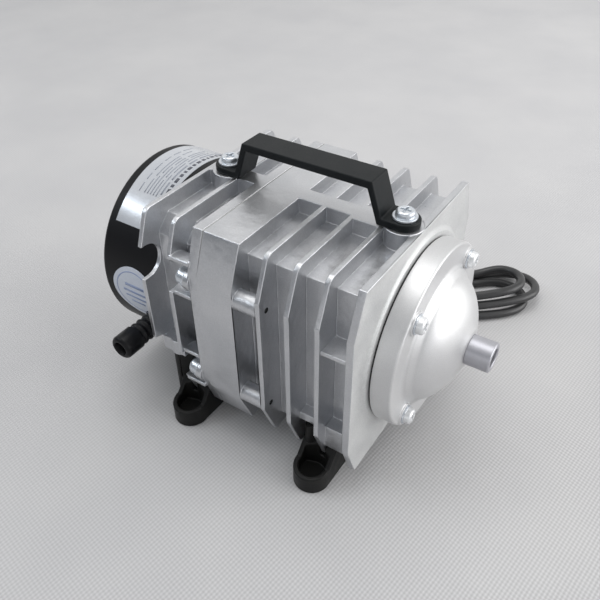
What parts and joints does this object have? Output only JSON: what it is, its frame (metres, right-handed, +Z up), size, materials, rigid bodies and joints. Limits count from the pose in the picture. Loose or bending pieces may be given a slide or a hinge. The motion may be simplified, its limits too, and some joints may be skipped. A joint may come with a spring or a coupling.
{
  "type": "air pump",
  "caption": "Electromagnetic piston air pump with a finned die-cast housing, round cover with an outlet tube, motor cap, handle, rubber feet and mains cord.",
  "frame": {"origin": "middle of the pump's footprint on the surface that the feet stand on, below the piston axis", "axes": "+X along the piston axis towards the outlet, +Y across the pump away from the inlet nozzle, +Z up"},
  "size_m": [0.206, 0.2581, 0.1475],
  "materials": {
    "cast_alloy": "satin die-cast",
    "cover_alloy": "smooth satin",
    "tube_alloy": "turned satin",
    "cap_black": "fine matte",
    "nozzle_black": "matte",
    "handle_black": "satin",
    "foot_rubber": "matte",
    "gasket_rubber": "matte",
    "zinc_screw": "bright zinc plated",
    "label_silver": "silver foil",
    "sticker_white": "gloss paper",
    "filter_felt": "felt",
    "liner_alloy": "honed",
    "core_steel": "dull",
    "valve_rubber": "matte",
    "spring_steel": "bright",
    "coil_copper": "enamelled copper",
    "nylon_ivory": "satin",
    "bush_bronze": "sintered",
    "magnet_dark": "satin",
    "cord_black": "satin",
    "pin_brass": "bright"
  },
  "bodies": {
    "housing": {"front_casting": "cast_alloy", "rear_casting": "cast_alloy", "housing_gasket": "gasket_rubber", "housing_screws": "zinc_screw", "front_gasket": "gasket_rubber", "front_cover": "cover_alloy", "cover_screws": "zinc_screw", "cover_washers": "zinc_screw", "outlet_tube": "tube_alloy", "rear_cap": "cap_black", "cap_seal": "gasket_rubber", "cap_screws": "zinc_screw", "rating_label": "label_silver", "round_sticker": "sticker_white", "intake_nozzle": "nozzle_black", "intake_filter": "filter_felt", "handle": "handle_black", "handle_screws": "zinc_screw", "foot_front_near": "foot_rubber", "foot_front_far": "foot_rubber", "foot_rear_near": "foot_rubber", "foot_rear_far": "foot_rubber", "foot_screws": "zinc_screw", "cylinder_liner": "liner_alloy", "valve_cage": "core_steel", "outlet_valve_spring": "spring_steel", "stator_core": "core_steel", "coil_front": "coil_copper", "coil_rear": "coil_copper", "coil_bobbins": "nylon_ivory", "bearing_plate": "core_steel", "guide_bush": "bush_bronze", "front_spring": "spring_steel", "rear_spring": "spring_steel", "terminal_block": "nylon_ivory", "cord_gland": "nozzle_black", "cord_lead": "cord_black", "cord_hank": "cord_black", "cord_tail": "cord_black", "cord_tie": "nozzle_black", "mains_plug": "cord_black", "plug_pins": "pin_brass"},
    "piston": {"piston": "liner_alloy", "piston_ring": "valve_rubber", "piston_rod": "spring_steel", "armature": "magnet_dark", "valve_stop": "spring_steel"},
    "inlet_valve": {"inlet_valve": "valve_rubber"},
    "outlet_valve": {"outlet_valve": "valve_rubber"}
  },
  "joints": [
    {"name": "piston_stroke", "type": "slide", "parent": "housing", "child": "piston", "axis": [1, 0, 0], "range_m": [-0.0065, 0.0065], "stiffness_N_per_m": 6000, "deforming": ["front_spring", "rear_spring"]},
    {"name": "inlet_valve_lift", "type": "slide", "parent": "piston", "child": "inlet_valve", "axis": [1, 0, 0], "range_m": [0, 0.0012]},
    {"name": "outlet_valve_lift", "type": "slide", "parent": "housing", "child": "outlet_valve", "axis": [1, 0, 0], "range_m": [0, 0.002], "stiffness_N_per_m": 250, "deforming": ["outlet_valve_spring"]}
  ]
}
